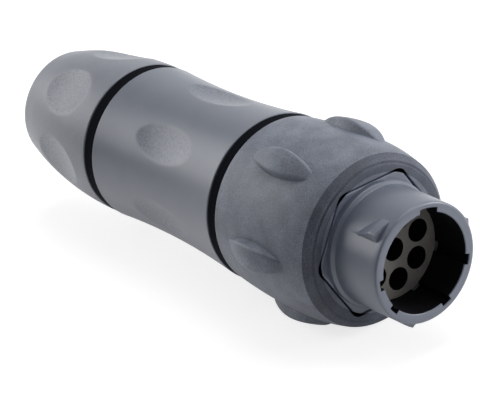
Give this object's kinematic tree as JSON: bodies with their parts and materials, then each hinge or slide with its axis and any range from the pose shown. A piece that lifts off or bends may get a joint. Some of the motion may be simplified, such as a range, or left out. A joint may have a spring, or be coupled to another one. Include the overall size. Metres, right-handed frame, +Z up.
{
  "type": "circular connector",
  "caption": "In-line circular cable receptacle: keyed barrel with bayonet studs, socket insert, gripped ring, waisted hollow body and domed cable gland nut.",
  "frame": {"origin": "centre of the mating rim, on the connector's axis", "axes": "+X along the axis, out of the mating end; +Z up, where a flat of the flange's hexagon faces up and two grip pads carry the ring"},
  "size_m": [0.0898, 0.0318, 0.0292],
  "materials": {
    "shell_plastic": "smooth bluish grey moulded plastic",
    "insert_plastic": "warm dark grey moulded insulator",
    "ring_plastic": "fine-grained matte grey moulded plastic",
    "body_plastic": "satin grey moulded plastic, grained in the recesses",
    "nut_plastic": "grained lighter grey moulded plastic",
    "seal_rubber": "black elastomer",
    "grommet_rubber": "dark soft elastomer",
    "cage_plastic": "dark nylon",
    "contact_metal": "plated turned brass",
    "spring_steel": "bright spring steel"
  },
  "bodies": {
    "backshell": {"backshell_body": "body_plastic", "rear_seal_ring": "seal_rubber"},
    "front_seal": {"front_seal_ring": "seal_rubber"},
    "receptacle": {"front_ring": "ring_plastic", "receptacle_shell": "shell_plastic", "contact_insert": "insert_plastic", "insert_retaining_ring": "spring_steel", "flange_gasket": "seal_rubber", "socket_contact_1": "contact_metal", "socket_contact_2": "contact_metal", "socket_contact_3": "contact_metal", "socket_contact_4": "contact_metal", "socket_contact_5": "contact_metal", "socket_contact_6": "contact_metal", "socket_contact_7": "contact_metal", "socket_contact_8": "contact_metal", "contact_clip_1": "spring_steel", "contact_clip_2": "spring_steel", "contact_clip_3": "spring_steel", "contact_clip_4": "spring_steel", "contact_clip_5": "spring_steel", "contact_clip_6": "spring_steel", "contact_clip_7": "spring_steel", "contact_clip_8": "spring_steel"},
    "cable_clamp": {"clamp_cage": "cage_plastic", "cable_grommet": "grommet_rubber"},
    "gland": {"gland_nut": "nut_plastic"}
  },
  "joints": [
    {"name": "ring_advance", "type": "slide", "parent": "backshell", "child": "front_seal", "axis": [1, 0, 0], "range_m": [0, 0.006]},
    {"name": "ring_turn", "type": "hinge", "parent": "front_seal", "child": "receptacle", "pos_m": [-0.0335, 0, 0], "axis": [1, 0, 0], "range_deg": [0, 1440]},
    {"name": "clamp_advance", "type": "slide", "parent": "backshell", "child": "cable_clamp", "axis": [-1, 0, 0], "range_m": [0, 0.0075]},
    {"name": "nut_turn", "type": "hinge", "parent": "cable_clamp", "child": "gland", "pos_m": [-0.0686, 0, 0], "axis": [-1, 0, 0], "range_deg": [0, 1800]}
  ],
  "couplings": [
    {"joint": "ring_advance", "follows": "ring_turn", "m_per_rad": 0.0002387},
    {"joint": "clamp_advance", "follows": "nut_turn", "m_per_rad": 0.0002387}
  ]
}
